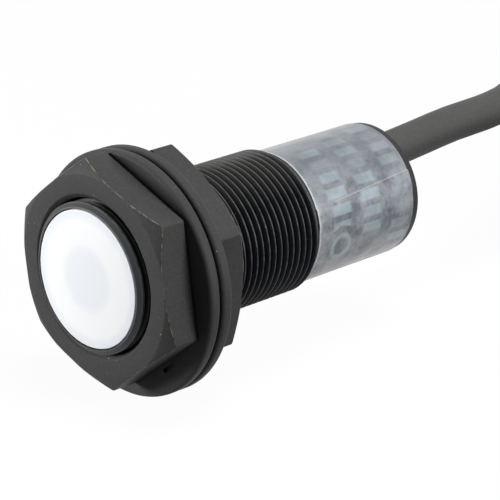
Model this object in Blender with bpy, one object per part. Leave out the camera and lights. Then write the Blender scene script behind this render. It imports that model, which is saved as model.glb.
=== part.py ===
# Inductive proximity sensor with an M18 x 1 threaded plastic barrel, two nuts with washers and a
# moulded-in cable. Metres. The barrel's axis is +X, away from the centre of the sensing face at
# the origin; +Z is up, and the part lies on its washers and on its folded cable.

from math import asin, cos, pi, radians, sin, sqrt

import bmesh
import bpy
from mathutils import Matrix, Vector

MM = 0.001

# clearances
FIT_GAP = 0.12 * MM
SEAT_GAP = 0.3 * MM
SOLDER_GAP = 0.1 * MM

# barrel
THREAD_DIAMETER = 18.0 * MM
THREAD_CHAMFER = 0.45 * MM
THREAD_LENGTH = 29.2 * MM
BODY_LENGTH = 47.4 * MM
REAR_STEP = 0.65 * MM
REAR_WALL = 1.05 * MM
SEGMENTS = 48

# sensing face
FRONT_LIP = 0.68 * MM
FACE_THICKNESS = 1.2 * MM
FACE_EDGE = 0.15 * MM

# nuts
NUT_BORE_GAP = 0.3 * MM
NUT_COUNTERSINK = 0.5 * MM
NUT_HEIGHT = 4.1 * MM
NUT_WALL = 2.7 * MM
HEX_FACE_MARGIN = 0.1 * MM
HEX_CHAMFER_ANGLE = radians(30)
FRONT_NUT_FACE = 0.9 * MM
FRONT_NUT_TURN = radians(-8.3)
REAR_NUT_TURN = radians(5.8)

# washers between the nuts, hanging on the thread by their loose bores
WASHER_THICKNESS = 1.55 * MM
WASHER_OVERHANG = 0.86 * MM
WASHER_ROUNDING = 0.5 * MM
WASHER_DROP = 0.76 * MM
WASHER_SIDE = 0.2 * MM

# film sleeve round the smooth rear end
SLEEVE_WALL = 0.13 * MM
SLEEVE_FRONT_GAP = 0.2 * MM

# end cap
CAP_THICKNESS = 1.1 * MM
CAP_EDGE = 0.35 * MM
CAP_PLUG_LENGTH = 4.8 * MM

# cable
CABLE_DIAMETER = 4.8 * MM
CLAMP_LENGTH = 2.0 * MM
CLAMP_WALL = 0.55 * MM
WIRE_DIAMETER = 1.2 * MM
WIRE_CIRCLE = 1.0 * MM
LEAD_LENGTH = 15.0 * MM
WIRE_REACH = 6.2 * MM
CABLE_SIDES = 3

# Route as far as the photograph shows it, chosen by hand as steps from the exit in the cap's rear face.
CABLE_ROUTE = (
    (0.0, 0.0, 0.0),
    (7.6 * MM, 0.0, 0.5 * MM),
    (15.0 * MM, 0.0, 1.1 * MM),
    (21.5 * MM, 0.0, 1.25 * MM),
)

# Hank of the cable that lies outside the photograph's view: strands wind round two lanes, one step a turn.
FOLD_RADIUS = 14.4 * MM
LANE_RADIUS = 3.4 * MM
HANK_TURNS = 8.5
HANK_RUN = 53.5 * MM
HANK_DISTANCE = 52.1 * MM
HANK_SIDE = 11.5 * MM
HANK_LIFT = 0.9 * MM
TAIL_DROP_LENGTH = 37.0 * MM
TAIL_LENGTH = 40.0 * MM

# oscillator coil in its pot core
CORE_LENGTH = 5.0 * MM
CORE_WINDOW = 2.8 * MM
CORE_WALL = 1.2 * MM
CORE_BACK = 1.4 * MM
CORE_HOLE_DIAMETER = 1.8 * MM
BOBBIN_WALL = 0.4 * MM
WINDING_GAP = 0.1 * MM
HOLDER_THICKNESS = 2.6 * MM
HOLDER_SLOT_DEPTH = 1.2 * MM

# circuit board and its components: length, width, height
BOARD_THICKNESS = 0.8 * MM
CHIP_SIZE = (5.0 * MM, 4.0 * MM, 1.4 * MM)
TRANSISTOR_SIZE = (4.5 * MM, 3.5 * MM, 1.5 * MM)
CAPACITOR_SIZE = (3.2 * MM, 2.5 * MM, 1.7 * MM)
CAPACITOR_COUNT = 2
RESISTOR_SIZE = (2.0 * MM, 1.2 * MM, 0.6 * MM)
RESISTOR_COUNT = 4
DIODE_SIZE = (3.5 * MM, 1.6 * MM, 1.2 * MM)
LED_SIZE = (1.6 * MM, 0.8 * MM, 0.8 * MM)
ROW_GAP = 0.4 * MM
WIRE_SPACING = 2.0 * MM

# worked out from the sizes above
THREAD_R = THREAD_DIAMETER / 2
REAR_R = THREAD_R - REAR_STEP
BORE_R = REAR_R - REAR_WALL
INSERT_R = BORE_R - SEAT_GAP
RECESS_R = THREAD_R - FRONT_LIP
FACE_R = RECESS_R - FIT_GAP
NUT_BORE_R = THREAD_R + NUT_BORE_GAP
HEX_FLAT_R = NUT_BORE_R + NUT_WALL
HEX_R = HEX_FLAT_R / cos(pi / 6)
HEX_FACE_R = HEX_FLAT_R + HEX_FACE_MARGIN
WASHER_R = HEX_R + WASHER_OVERHANG
WASHER_BORE_R = THREAD_R + sqrt(WASHER_DROP ** 2 + WASHER_SIDE ** 2) + FIT_GAP
FRONT_WASHER_FACE = FRONT_NUT_FACE + NUT_HEIGHT + SEAT_GAP
REAR_WASHER_FACE = FRONT_WASHER_FACE + WASHER_THICKNESS + SEAT_GAP
REAR_NUT_FACE = REAR_WASHER_FACE + WASHER_THICKNESS + SEAT_GAP + NUT_HEIGHT
BARREL_END = BODY_LENGTH - CAP_THICKNESS - FIT_GAP
CABLE_R = CABLE_DIAMETER / 2
CLAMP_INNER_R = CABLE_R + FIT_GAP
CLAMP_OUTER_R = CLAMP_INNER_R + CLAMP_WALL
CABLE_OFFSET = INSERT_R - CLAMP_OUTER_R
PLUG_FRONT = BODY_LENGTH - CAP_THICKNESS - CAP_PLUG_LENGTH
CLAMP_REAR = PLUG_FRONT - SEAT_GAP
CABLE_START = CLAMP_REAR - CLAMP_LENGTH
WIRE_START = CABLE_START - SEAT_GAP
WIRE_END = WIRE_START - WIRE_REACH
CORE_FRONT = FACE_THICKNESS + SEAT_GAP
CORE_REAR = CORE_FRONT + CORE_LENGTH
HOLDER_FRONT = CORE_REAR + SEAT_GAP
HOLDER_REAR = HOLDER_FRONT + HOLDER_THICKNESS
BOARD_FRONT = HOLDER_REAR - HOLDER_SLOT_DEPTH + FIT_GAP
BOARD_REAR = PLUG_FRONT - SEAT_GAP
BOARD_TOP = BOARD_THICKNESS / 2
SURFACE_Z = -WASHER_R - WASHER_DROP
HANK_X = BODY_LENGTH + HANK_DISTANCE
HANK_Y = -HANK_SIDE
STRAND_STEP = 2 * LANE_RADIUS * asin(CABLE_R / LANE_RADIUS)
LANE_HEIGHT = (HANK_TURNS + 1) * STRAND_STEP / 2 - pi * LANE_RADIUS
HANK_OUTER_LANE = FOLD_RADIUS + 2 * LANE_RADIUS
HANK_OUTER_R = HANK_OUTER_LANE + CABLE_R
HANK_INNER_R = FOLD_RADIUS - CABLE_R
ENTRY_Z = SURFACE_Z + HANK_LIFT + CABLE_R + LANE_RADIUS + LANE_HEIGHT
HANK_TOP = ENTRY_Z + LANE_RADIUS + CABLE_R

for old in list(bpy.data.objects):
    bpy.data.objects.remove(old, do_unlink=True)


def finish(obj, colour, roughness, metallic=0.0):
    """Give an object its own Principled material."""
    material = bpy.data.materials.new(obj.name)
    material.use_nodes = True
    shader = material.node_tree.nodes["Principled BSDF"]
    shader.inputs["Base Color"].default_value = (*colour, 1.0)
    shader.inputs["Roughness"].default_value = roughness
    shader.inputs["Metallic"].default_value = metallic
    obj.data.materials.append(material)
    return obj


def object_from(bm, name):
    """Close a bmesh into a linked object with its faces pointing outwards."""
    bmesh.ops.remove_doubles(bm, verts=bm.verts, dist=1e-7)
    bmesh.ops.recalc_face_normals(bm, faces=bm.faces)
    mesh = bpy.data.meshes.new(name)
    bm.to_mesh(mesh)
    bm.free()
    obj = bpy.data.objects.new(name, mesh)
    bpy.context.scene.collection.objects.link(obj)
    return obj


def turned(name, profile, segments=SEGMENTS):
    """Spin a profile of (x, radius) points about the X axis; it closes on itself off the axis."""
    bm = bmesh.new()
    verts = [bm.verts.new((x, 0, r)) for x, r in profile]
    pairs = list(zip(verts, verts[1:]))
    if profile[0][1] > 0:
        pairs.append((verts[-1], verts[0]))
    edges = [bm.edges.new(pair) for pair in pairs]
    bmesh.ops.spin(bm, geom=verts + edges, cent=(0, 0, 0), axis=(1, 0, 0), angle=2 * pi, steps=segments)
    return object_from(bm, name)


def box(name, centre, size):
    """A box of a given size about its centre."""
    bm = bmesh.new()
    bmesh.ops.create_cube(bm, size=1.0, matrix=Matrix.Diagonal((*size, 1.0)))
    obj = object_from(bm, name)
    obj.location = centre
    return obj


def rod(name, radius, start, end, y=0.0, z=0.0, segments=24):
    """A cylinder along X from start to end."""
    obj = turned(name, [(start, 0), (start, radius), (end, radius), (end, 0)], segments)
    obj.location = (0, y, z)
    return obj


def cut(obj, cutter, operation="DIFFERENCE"):
    """Add an exact Boolean, with its cutter hidden from the render and drawn as wire."""
    cutter.hide_render = True
    cutter.display_type = "WIRE"
    modifier = obj.modifiers.new(cutter.name, "BOOLEAN")
    modifier.operation = operation
    modifier.solver = "EXACT"
    modifier.object = cutter
    return obj


def smooth_points(route, spacing, lowest=SURFACE_Z):
    """Points at an even spacing along a Catmull-Rom curve through a route, none under a height."""
    route = [Vector(p) for p in route]
    ends = [2 * route[0] - route[1], *route, 2 * route[-1] - route[-2]]
    fine = []
    for a, b, c, d in zip(ends, ends[1:], ends[2:], ends[3:]):
        for step in range(24):
            t = step / 24
            fine.append(0.5 * (2 * b + (c - a) * t + (2 * a - 5 * b + 4 * c - d) * t * t
                               + (3 * b - a - 3 * c + d) * t ** 3))
    fine.append(route[-1])
    total = sum((q - p).length for p, q in zip(fine, fine[1:]))
    count = max(2, round(total / spacing))
    points = [fine[0]]
    travelled = 0.0
    for p, q in zip(fine, fine[1:]):
        travelled += (q - p).length
        if travelled >= len(points) * total / count - 1e-9 and len(points) < count:
            points.append(q)
    points.append(fine[-1])
    return [Vector((p.x, p.y, max(p.z, lowest))) for p in points]


def tube(name, points, radius, sides=CABLE_SIDES):
    """A round tube with filled ends along points."""
    curve = bpy.data.curves.new(name, "CURVE")
    curve.dimensions = "3D"
    curve.bevel_depth = radius
    curve.bevel_resolution = sides
    curve.use_fill_caps = True
    spline = curve.splines.new("POLY")
    spline.points.add(len(points) - 1)
    for slot, point in zip(spline.points, points):
        slot.co = (*point, 1.0)
    obj = bpy.data.objects.new(name, curve)
    bpy.context.scene.collection.objects.link(obj)
    return obj


def make_housing():
    """Threaded barrel, smooth at the rear, with a recess for the sensing face."""
    recess_depth = FACE_THICKNESS + FIT_GAP
    profile = [
        (0, RECESS_R),
        (0, THREAD_R - THREAD_CHAMFER),
        (THREAD_CHAMFER, THREAD_R),
        (THREAD_LENGTH - (THREAD_R - REAR_R), THREAD_R),
        (THREAD_LENGTH, REAR_R),
        (BARREL_END, REAR_R),
        (BARREL_END, BORE_R),
        (recess_depth, BORE_R),
        (recess_depth, RECESS_R),
    ]
    finish(turned("housing", profile), (0.022, 0.024, 0.026), 0.5)


def make_sensing_face():
    """White disc that closes the front of the barrel."""
    profile = [(FACE_THICKNESS, 0), (FACE_THICKNESS, FACE_R), (FACE_EDGE, FACE_R), (0, FACE_R - FACE_EDGE), (0, 0)]
    finish(turned("sensing_face", profile), (0.86, 0.88, 0.9), 0.35)


def make_nut(name, outer_face, direction, turn):
    """Hexagon nut, chamfered on its outer face; direction is +1 where the nut reaches along +X from there."""
    chamfer_x = (HEX_R + FIT_GAP - HEX_FACE_R) * sin(HEX_CHAMFER_ANGLE) / cos(HEX_CHAMFER_ANGLE)
    profile = [
        (NUT_COUNTERSINK, NUT_BORE_R),
        (0, NUT_BORE_R + NUT_COUNTERSINK),
        (0, HEX_FACE_R),
        (chamfer_x, HEX_R + FIT_GAP),
        (NUT_HEIGHT, HEX_R + FIT_GAP),
        (NUT_HEIGHT, NUT_BORE_R),
    ]
    nut = turned(name, [(outer_face + direction * x, r) for x, r in profile], 72)
    far = outer_face - direction * SEAT_GAP
    near = outer_face + direction * (NUT_HEIGHT + SEAT_GAP)
    trim = turned(name + "_flats", [(far, HEX_R), (near, HEX_R), (near, 2 * HEX_R), (far, 2 * HEX_R)], 6)
    trim.rotation_euler = (turn, 0, 0)
    cut(nut, trim)
    finish(nut, (0.028, 0.028, 0.027), 0.45)


def make_washer(name, front):
    """Flat washer with a rounded rim, off the barrel's axis by its play on the thread."""
    steps = 3
    rims = []
    for corner, quarter in ((front + WASHER_ROUNDING, 2), (front + WASHER_THICKNESS - WASHER_ROUNDING, 1)):
        for step in range(steps + 1):
            angle = pi / 2 * (quarter - step / steps)
            rims.append((corner + WASHER_ROUNDING * cos(angle), WASHER_R - WASHER_ROUNDING * (1 - sin(angle))))
    profile = [(front, WASHER_BORE_R), *rims, (front + WASHER_THICKNESS, WASHER_BORE_R)]
    washer = turned(name, profile, 72)
    washer.location = (0, -WASHER_SIDE, -WASHER_DROP)
    finish(washer, (0.028, 0.028, 0.027), 0.45)


def make_sleeve():
    """Printed film wrapped round the smooth rear end."""
    inner = REAR_R + FIT_GAP
    outer = inner + SLEEVE_WALL
    front = THREAD_LENGTH + SLEEVE_FRONT_GAP
    profile = [(front, inner), (front, outer), (BARREL_END, outer), (BARREL_END, inner)]
    finish(turned("label_sleeve", profile), (0.36, 0.38, 0.38), 0.35)


def make_end_cap():
    """Plug that closes the rear of the barrel, with the cable's hole off its centre."""
    flange = BODY_LENGTH - CAP_THICKNESS
    profile = [
        (PLUG_FRONT, 0),
        (PLUG_FRONT, INSERT_R),
        (flange, INSERT_R),
        (flange, REAR_R),
        (BODY_LENGTH - CAP_EDGE, REAR_R),
        (BODY_LENGTH, REAR_R - CAP_EDGE),
        (BODY_LENGTH, 0),
    ]
    cap = turned("end_cap", profile)
    hole = rod("end_cap_hole", CABLE_R + FIT_GAP, PLUG_FRONT - SEAT_GAP, BODY_LENGTH + SEAT_GAP, z=CABLE_OFFSET)
    cut(cap, hole)
    finish(cap, (0.035, 0.035, 0.034), 0.5)


def make_clamp():
    """Ring that grips the cable's jacket behind the end cap's plug."""
    clamp = turned("cable_clamp", [
        (CABLE_START, CLAMP_INNER_R),
        (CABLE_START, CLAMP_OUTER_R),
        (CLAMP_REAR, CLAMP_OUTER_R),
        (CLAMP_REAR, CLAMP_INNER_R),
    ], 24)
    clamp.location = (0, 0, CABLE_OFFSET)
    finish(clamp, (0.55, 0.55, 0.56), 0.35, 1.0)


def make_oscillator():
    """Pot core, bobbin and winding behind the sensing face, and the holder behind them."""
    groove_r = INSERT_R - CORE_WALL
    post_r = groove_r - CORE_WINDOW
    groove_end = CORE_REAR - CORE_BACK
    core = turned("ferrite_core", [
        (CORE_FRONT, CORE_HOLE_DIAMETER / 2),
        (CORE_FRONT, post_r),
        (groove_end, post_r),
        (groove_end, groove_r),
        (CORE_FRONT, groove_r),
        (CORE_FRONT, INSERT_R),
        (CORE_REAR, INSERT_R),
        (CORE_REAR, CORE_HOLE_DIAMETER / 2),
    ])
    finish(core, (0.06, 0.06, 0.065), 0.7)
    inner = post_r + FIT_GAP
    outer = groove_r - FIT_GAP
    front = CORE_FRONT + FIT_GAP
    rear = groove_end - FIT_GAP
    bobbin = turned("coil_bobbin", [
        (front, inner),
        (front, outer),
        (front + BOBBIN_WALL, outer),
        (front + BOBBIN_WALL, inner + BOBBIN_WALL),
        (rear - BOBBIN_WALL, inner + BOBBIN_WALL),
        (rear - BOBBIN_WALL, outer),
        (rear, outer),
        (rear, inner),
    ])
    finish(bobbin, (0.75, 0.73, 0.66), 0.5)
    wind_front = front + BOBBIN_WALL + WINDING_GAP
    wind_rear = rear - BOBBIN_WALL - WINDING_GAP
    wind_inner = inner + BOBBIN_WALL + WINDING_GAP
    winding = turned("coil_winding", [
        (wind_front, wind_inner),
        (wind_front, outer - WINDING_GAP),
        (wind_rear, outer - WINDING_GAP),
        (wind_rear, wind_inner),
    ])
    finish(winding, (0.7, 0.27, 0.12), 0.35, 1.0)
    holder = rod("core_holder", INSERT_R, HOLDER_FRONT, HOLDER_REAR, segments=SEGMENTS)
    slot_front = HOLDER_REAR - HOLDER_SLOT_DEPTH
    slot = box("core_holder_slot", (slot_front + HOLDER_THICKNESS / 2, 0, 0),
               (HOLDER_THICKNESS, 2 * BORE_R, BOARD_THICKNESS + 2 * FIT_GAP))
    cut(holder, slot)
    finish(holder, (0.2, 0.2, 0.21), 0.5)


def on_board(size, x, y):
    """Centre of a component that stands on the board's upper side."""
    return (x, y, BOARD_TOP + SOLDER_GAP + size[2] / 2)


def spread(lengths, start, end):
    """Centres of pieces in a row with equal gaps between start and end."""
    gap = (end - start - sum(lengths)) / (len(lengths) + 1)
    return [start + gap * (i + 1) + sum(lengths[:i]) + length / 2 for i, length in enumerate(lengths)]


def make_board():
    """Circuit board along the barrel's bore with its components."""
    length = BOARD_REAR - BOARD_FRONT
    width = 2 * sqrt(INSERT_R ** 2 - BOARD_TOP ** 2)
    board = box("circuit_board", (BOARD_FRONT + length / 2, 0, 0), (length, width, BOARD_THICKNESS))
    finish(board, (0.03, 0.2, 0.09), 0.45)
    chip_x, = spread([CHIP_SIZE[0]], HOLDER_REAR, WIRE_END)
    finish(box("controller_chip", on_board(CHIP_SIZE, chip_x, 0), CHIP_SIZE), (0.02, 0.02, 0.02), 0.4)
    small_y = CHIP_SIZE[1] / 2 + ROW_GAP + DIODE_SIZE[1] / 2
    places = spread([RESISTOR_SIZE[0]] * RESISTOR_COUNT + [DIODE_SIZE[0]], HOLDER_REAR, WIRE_END)
    for i in range(RESISTOR_COUNT):
        resistor = box(f"resistor_{i + 1}", on_board(RESISTOR_SIZE, places[i], small_y), RESISTOR_SIZE)
        finish(resistor, (0.03, 0.03, 0.035), 0.4)
    diode = box("protection_diode", on_board(DIODE_SIZE, places[-1], small_y), DIODE_SIZE)
    finish(diode, (0.05, 0.05, 0.05), 0.35)
    large_y = -(CHIP_SIZE[1] / 2 + ROW_GAP + TRANSISTOR_SIZE[1] / 2)
    places = spread([CAPACITOR_SIZE[0]] * CAPACITOR_COUNT + [TRANSISTOR_SIZE[0]], HOLDER_REAR, WIRE_END)
    for i in range(CAPACITOR_COUNT):
        capacitor = box(f"capacitor_{i + 1}", on_board(CAPACITOR_SIZE, places[i], large_y), CAPACITOR_SIZE)
        finish(capacitor, (0.55, 0.42, 0.28), 0.45)
    transistor = box("output_transistor", on_board(TRANSISTOR_SIZE, places[-1], large_y), TRANSISTOR_SIZE)
    finish(transistor, (0.02, 0.02, 0.02), 0.35)
    led = box("indicator_led", on_board(LED_SIZE, BOARD_REAR - LED_SIZE[0], large_y), LED_SIZE)
    finish(led, (0.9, 0.55, 0.08), 0.25)


WIRES = (
    ("brown", radians(210), -1, (0.13, 0.05, 0.025)),
    ("black", radians(90), 0, (0.015, 0.015, 0.015)),
    ("blue", radians(330), 1, (0.02, 0.09, 0.4)),
)


def make_wires():
    """Insulated cores from the cable's end down to the board, and bare out of its far end."""
    low = BOARD_TOP + SOLDER_GAP + WIRE_DIAMETER / 2
    for colour, angle, place, shade in WIRES:
        y = WIRE_CIRCLE * cos(angle)
        z = CABLE_OFFSET + WIRE_CIRCLE * sin(angle)
        pad_y = place * WIRE_SPACING
        middle = ((y + pad_y) / 2, (z + low) / 2)
        route = [
            (WIRE_START, y, z),
            (WIRE_START - WIRE_REACH * 0.1, y, z),
            (WIRE_START - WIRE_REACH * 0.4, *middle),
            (WIRE_START - WIRE_REACH * 0.8, pad_y, low),
            (WIRE_END, pad_y, low),
        ]
        wire = tube("wire_" + colour, smooth_points(route, WIRE_DIAMETER / 2), WIRE_DIAMETER / 2, 2)
        finish(wire, shade, 0.45)


def eased(start, end, steps=5):
    """Points from start to end that leave and arrive level along X."""
    start, end = Vector(start), Vector(end)
    points = []
    for i in range(1, steps + 1):
        part = i / steps
        share = (1 - cos(pi * part)) / 2
        side = start.lerp(end, share)
        points.append(Vector((start.x + (end.x - start.x) * part, side.y, side.z)))
    return points


def outside_hank(route, lowest=SURFACE_Z):
    """Points along the part of a route that stays clear of the hank's near fold."""
    fold = Vector((HANK_X, HANK_Y))
    fine = smooth_points(route, 0.4 * MM, lowest)
    kept = []
    for p, q in zip(fine, fine[1:] + [2 * fine[-1] - fine[-2]]):
        away = p.xy - fold
        slant = (q - p).xy.normalized().dot(away.normalized())
        if away.length > HANK_OUTER_R + SEAT_GAP + CABLE_R * sqrt(1 - slant ** 2):
            kept.append(p)
    return kept[:-1:22] + kept[-1:]


def make_cable():
    """Cable from inside the end cap to the hank."""
    exit_point = Vector((BODY_LENGTH, 0, CABLE_OFFSET))
    route = [Vector((CABLE_START, 0, CABLE_OFFSET))] + [exit_point + Vector(step) for step in CABLE_ROUTE]
    route += eased(route[-1], (HANK_X, HANK_Y + HANK_OUTER_LANE, ENTRY_Z))
    cable = tube("cable", outside_hank(route), CABLE_R)
    finish(cable, (0.09, 0.09, 0.085), 0.5)


def fold_outline(radius, steps=24):
    """A line round both folds of the hank at a distance from their centres."""
    points = []
    for i in range(2 * steps + 2):
        fold, step = divmod(i, steps + 1)
        angle = pi * (fold + step / steps) + pi / 2
        points.append((HANK_X + HANK_RUN * fold + radius * cos(angle), HANK_Y + radius * sin(angle)))
    return points


def make_hank():
    """The hank's outer shape: two runs and two folds on the surface."""
    bm = bmesh.new()
    rings = []
    for radius, z in (
        (HANK_OUTER_R, SURFACE_Z), (HANK_OUTER_R, HANK_TOP), (HANK_INNER_R, HANK_TOP), (HANK_INNER_R, SURFACE_Z),
    ):
        rings.append([bm.verts.new((x, y, z)) for x, y in fold_outline(radius)])
    for low, high in zip(rings, rings[1:] + rings[:1]):
        for i, vert in enumerate(low):
            j = (i + 1) % len(low)
            bm.faces.new((vert, low[j], high[j], high[i]))
    finish(object_from(bm, "cable_hank"), (0.09, 0.09, 0.085), 0.5)


def make_tail():
    """The cable's far end down to the surface, with three bare leads out of its jacket."""
    tail_y = HANK_Y - HANK_OUTER_LANE
    start = Vector((HANK_X, tail_y, ENTRY_Z - STRAND_STEP))
    lying = SURFACE_Z + CABLE_R
    end = HANK_X - TAIL_LENGTH
    route = [start] + eased(start, (HANK_X - TAIL_DROP_LENGTH, tail_y, lying)) + [Vector((end, tail_y, lying))]
    tail = tube("cable_tail", outside_hank(route, lying), CABLE_R)
    finish(tail, (0.09, 0.09, 0.085), 0.5)
    lead_start = end - SEAT_GAP
    low = SURFACE_Z + WIRE_DIAMETER / 2
    for colour, angle, place, shade in WIRES:
        y = tail_y + WIRE_CIRCLE * cos(angle)
        z = lying + WIRE_CIRCLE * sin(angle)
        side = (place + 1) * WIRE_DIAMETER
        route = [
            (lead_start, y, z),
            (lead_start - LEAD_LENGTH * 0.1, y + side * 0.1, z),
            (lead_start - LEAD_LENGTH * 0.4, y + side, (z + low) / 2),
            (lead_start - LEAD_LENGTH * 0.7, y + side * 1.6, low),
            (lead_start - LEAD_LENGTH, y + side * 2.0, low),
        ]
        lead = tube("lead_" + colour, smooth_points(route, WIRE_DIAMETER, low), WIRE_DIAMETER / 2, 2)
        finish(lead, shade, 0.45)


make_housing()
make_sensing_face()
make_nut("front_nut", FRONT_NUT_FACE, 1, FRONT_NUT_TURN)
make_nut("rear_nut", REAR_NUT_FACE, -1, REAR_NUT_TURN)
make_washer("front_washer", FRONT_WASHER_FACE)
make_washer("rear_washer", REAR_WASHER_FACE)
make_sleeve()
make_end_cap()
make_clamp()
make_oscillator()
make_board()
make_wires()
make_cable()
make_hank()
make_tail()
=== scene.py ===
import math

import bmesh
import bpy
from mathutils import Matrix, Vector


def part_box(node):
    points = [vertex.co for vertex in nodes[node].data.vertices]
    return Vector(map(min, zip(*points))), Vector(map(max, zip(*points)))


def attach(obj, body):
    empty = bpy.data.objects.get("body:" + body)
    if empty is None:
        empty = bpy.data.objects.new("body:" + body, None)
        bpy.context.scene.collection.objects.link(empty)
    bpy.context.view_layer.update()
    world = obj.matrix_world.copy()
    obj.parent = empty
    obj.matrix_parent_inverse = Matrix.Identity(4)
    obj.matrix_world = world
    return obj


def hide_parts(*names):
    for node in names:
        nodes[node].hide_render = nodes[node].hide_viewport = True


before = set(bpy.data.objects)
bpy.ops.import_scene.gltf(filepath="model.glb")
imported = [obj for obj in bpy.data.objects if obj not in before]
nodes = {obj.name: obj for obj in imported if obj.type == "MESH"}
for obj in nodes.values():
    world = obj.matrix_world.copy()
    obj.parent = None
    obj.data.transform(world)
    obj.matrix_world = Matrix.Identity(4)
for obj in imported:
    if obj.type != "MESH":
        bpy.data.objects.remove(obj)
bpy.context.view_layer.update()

mm = 0.001
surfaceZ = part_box("front_washer")[0].z

# Small tools


def hexToLinear(text):
    # sRGB hex to the linear values that the shaders take
    out = []
    for i in (1, 3, 5):
        c = int(text[i:i + 2], 16) / 255
        out.append(c / 12.92 if c <= 0.04045 else ((c + 0.055) / 1.055) ** 2.4)
    return (*out, 1.0)


def addNode(tree, kind, settings=None, values=None, links=None):
    # one node with its settings, its typed values and what is linked into it
    node = tree.nodes.new(kind)
    for key, value in (settings or {}).items():
        setattr(node, key, value)
    for key, value in (values or {}).items():
        node.inputs[key].default_value = value
    for key, source in (links or {}).items():
        tree.links.new(source, node.inputs[key])
    return node


def newMaterial(name, colour, roughness, metallic=0.0, ior=1.5):
    # a Principled material to start from, with Object coordinates at hand
    material = bpy.data.materials.new(name)
    material.use_nodes = True
    tree = material.node_tree
    shader = tree.nodes["Principled BSDF"]
    shader.inputs["Base Color"].default_value = hexToLinear(colour)
    shader.inputs["Roughness"].default_value = roughness
    shader.inputs["Metallic"].default_value = metallic
    shader.inputs["IOR"].default_value = ior
    place = addNode(tree, "ShaderNodeTexCoord").outputs["Object"]
    return material, tree, shader, place


def dress(piece, material):
    piece.data.materials.clear()
    piece.data.materials.append(material)
    return piece


def smoothUpTo(mesh, sharpAngle):
    # smooth shading, with the edges beyond an angle kept sharp
    mesh.shade_smooth()
    mesh.set_sharp_from_angle(angle=math.radians(sharpAngle))


def linkMesh(name, bm, sharpAngle=28):
    # a bmesh into a linked object, normals outwards, smooth up to an angle
    bmesh.ops.remove_doubles(bm, verts=bm.verts, dist=1e-7)
    bmesh.ops.dissolve_degenerate(bm, dist=1e-7, edges=bm.edges)
    bmesh.ops.recalc_face_normals(bm, faces=bm.faces)
    mesh = bpy.data.meshes.new(name)
    bm.to_mesh(mesh)
    bm.free()
    smoothUpTo(mesh, sharpAngle)
    piece = bpy.data.objects.new(name, mesh)
    bpy.context.scene.collection.objects.link(piece)
    return piece


def turnedPiece(name, profile, segments=160, sharpAngle=28):
    # spins (x, radius) points about the barrel's axis
    bm = bmesh.new()
    verts = [bm.verts.new((x, 0, r)) for x, r in profile]
    pairs = list(zip(verts, verts[1:]))
    if profile[0][1] > 0:
        pairs.append((verts[-1], verts[0]))
    edges = [bm.edges.new(pair) for pair in pairs]
    bmesh.ops.spin(bm, geom=verts + edges, cent=(0, 0, 0), axis=(1, 0, 0), angle=2 * math.pi,
                   steps=segments)
    return linkMesh(name, bm, sharpAngle)


def bridge(bm, rings):
    # faces from each closed ring of points to the next, with their places in the ring
    strips = []
    for one, other in zip(rings, rings[1:]):
        for i in range(len(one)):
            j = (i + 1) % len(one)
            strips.append((i, bm.faces.new((one[i], one[j], other[j], other[i]))))
    return strips


def roundedCorner(centre, radius, fromAngle, toAngle, steps=4):
    # points of an arc in a profile
    points = []
    for i in range(steps + 1):
        angle = math.radians(fromAngle + (toAngle - fromAngle) * i / steps)
        points.append((centre[0] + radius * math.cos(angle), centre[1] + radius * math.sin(angle)))
    return points


def flattened(piece):
    # what a piece's modifiers make becomes its plain mesh
    depsgraph = bpy.context.evaluated_depsgraph_get()
    mesh = bpy.data.meshes.new_from_object(piece.evaluated_get(depsgraph))
    piece.modifiers.clear()
    piece.data = mesh
    return piece


def cutAway(piece, cutter, sharpAngle):
    # takes the cutter's form out of a piece
    cutting = piece.modifiers.new(cutter.name, "BOOLEAN")
    cutting.object = cutter
    cutting.solver = "EXACT"
    flattened(piece)
    bpy.data.objects.remove(cutter, do_unlink=True)
    smoothUpTo(piece.data, sharpAngle)


def smoothCurve(route, spacing):
    # even points on a Catmull-Rom curve through a route
    route = [Vector(p) for p in route]
    ends = [2 * route[0] - route[1], *route, 2 * route[-1] - route[-2]]
    fine = []
    for a, b, c, d in zip(ends, ends[1:], ends[2:], ends[3:]):
        for step in range(32):
            t = step / 32
            bend = 2 * a - 5 * b + 4 * c - d
            twist = 3 * b - a - 3 * c + d
            fine.append(0.5 * (2 * b + (c - a) * t + bend * t * t + twist * t ** 3))
    fine.append(route[-1])
    total = sum((q - p).length for p, q in zip(fine, fine[1:]))
    count = max(2, round(total / spacing))
    points = [fine[0]]
    travelled = 0.0
    for p, q in zip(fine, fine[1:]):
        travelled += (q - p).length
        if travelled >= len(points) * total / count and len(points) < count:
            points.append(q)
    points.append(fine[-1])
    return points


def tubeCurve(name, points, radius, sides=6):
    # a round curve along points, with closed ends
    curve = bpy.data.curves.new(name, "CURVE")
    curve.dimensions = "3D"
    curve.bevel_depth = radius
    curve.bevel_resolution = sides
    curve.use_fill_caps = True
    spline = curve.splines.new("POLY")
    spline.points.add(len(points) - 1)
    for slot, point in zip(spline.points, points):
        slot.co = (*point, 1.0)
    spline.use_smooth = True
    piece = bpy.data.objects.new(name, curve)
    bpy.context.scene.collection.objects.link(piece)
    return piece


# Camera, floor and light

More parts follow.
